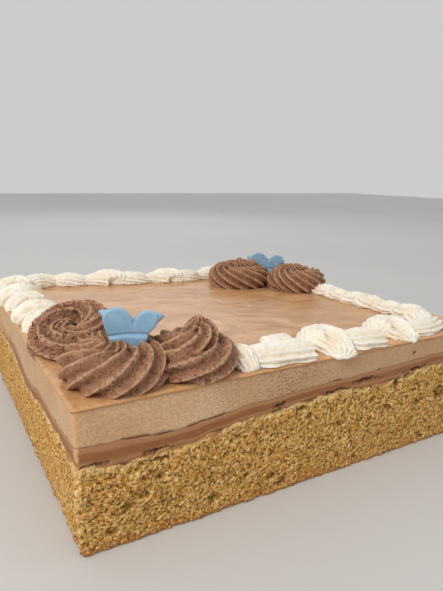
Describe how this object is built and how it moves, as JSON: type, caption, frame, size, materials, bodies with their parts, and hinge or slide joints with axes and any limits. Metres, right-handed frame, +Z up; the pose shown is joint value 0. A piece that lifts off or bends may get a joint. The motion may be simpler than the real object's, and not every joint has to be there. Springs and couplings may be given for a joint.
{
  "type": "speculoos cake",
  "caption": "Uncut rectangular slab cake of sponge, caramel and mousse under a thin glaze, with piped cream rosettes, a piped cream border and sugar-paste butterflies.",
  "frame": {"origin": "middle of the flat underside of the sponge, where the cake rests", "axes": "+Z up through the layers; +X to the right along the front edge, from the front corner with the large rosette; +Y from the front to the back"},
  "size_m": [0.2042, 0.197, 0.0814],
  "materials": {
    "sponge": "open baked crumb with a browned lower edge, dry and matt",
    "caramel": "thick biscuit and caramel spread, soft sheen",
    "mousse": "set mousse with fine pores, cut face, matt with a faint sheen",
    "glaze": "thin set glaze, smooth and shiny",
    "chocolate_cream": "whipped chocolate cream, matt, with small air holes",
    "white_cream": "whipped cream, soft satin",
    "sugar_paste": "pressed blue sugar paste, soft satin"
  },
  "bodies": {
    "root": {"sponge_base": "sponge", "caramel_layer": "caramel", "mousse_layer": "mousse", "top_glaze": "glaze", "butterfly_front": "sugar_paste", "butterfly_back": "sugar_paste", "chocolate_rosette_front_corner": "chocolate_cream", "chocolate_rosette_front_left": "chocolate_cream", "chocolate_rosette_front_right": "chocolate_cream", "chocolate_rosette_back_left": "chocolate_cream", "chocolate_rosette_back_right": "chocolate_cream", "chocolate_rosette_back_corner": "chocolate_cream", "cream_front_1": "white_cream", "cream_front_2": "white_cream", "cream_front_3": "white_cream", "cream_front_4": "white_cream", "cream_front_5": "white_cream", "cream_front_6": "white_cream", "cream_right_1": "white_cream", "cream_right_2": "white_cream", "cream_right_3": "white_cream", "cream_right_4": "white_cream", "cream_right_5": "white_cream", "cream_back_1": "white_cream", "cream_back_2": "white_cream", "cream_back_3": "white_cream", "cream_back_4": "white_cream", "cream_back_5": "white_cream", "cream_back_6": "white_cream", "cream_back_7": "white_cream", "cream_back_8": "white_cream", "cream_left_1": "white_cream", "cream_left_2": "white_cream", "cream_left_3": "white_cream", "cream_left_4": "white_cream", "cream_left_5": "white_cream", "cream_left_6": "white_cream"}
  },
  "joints": []
}
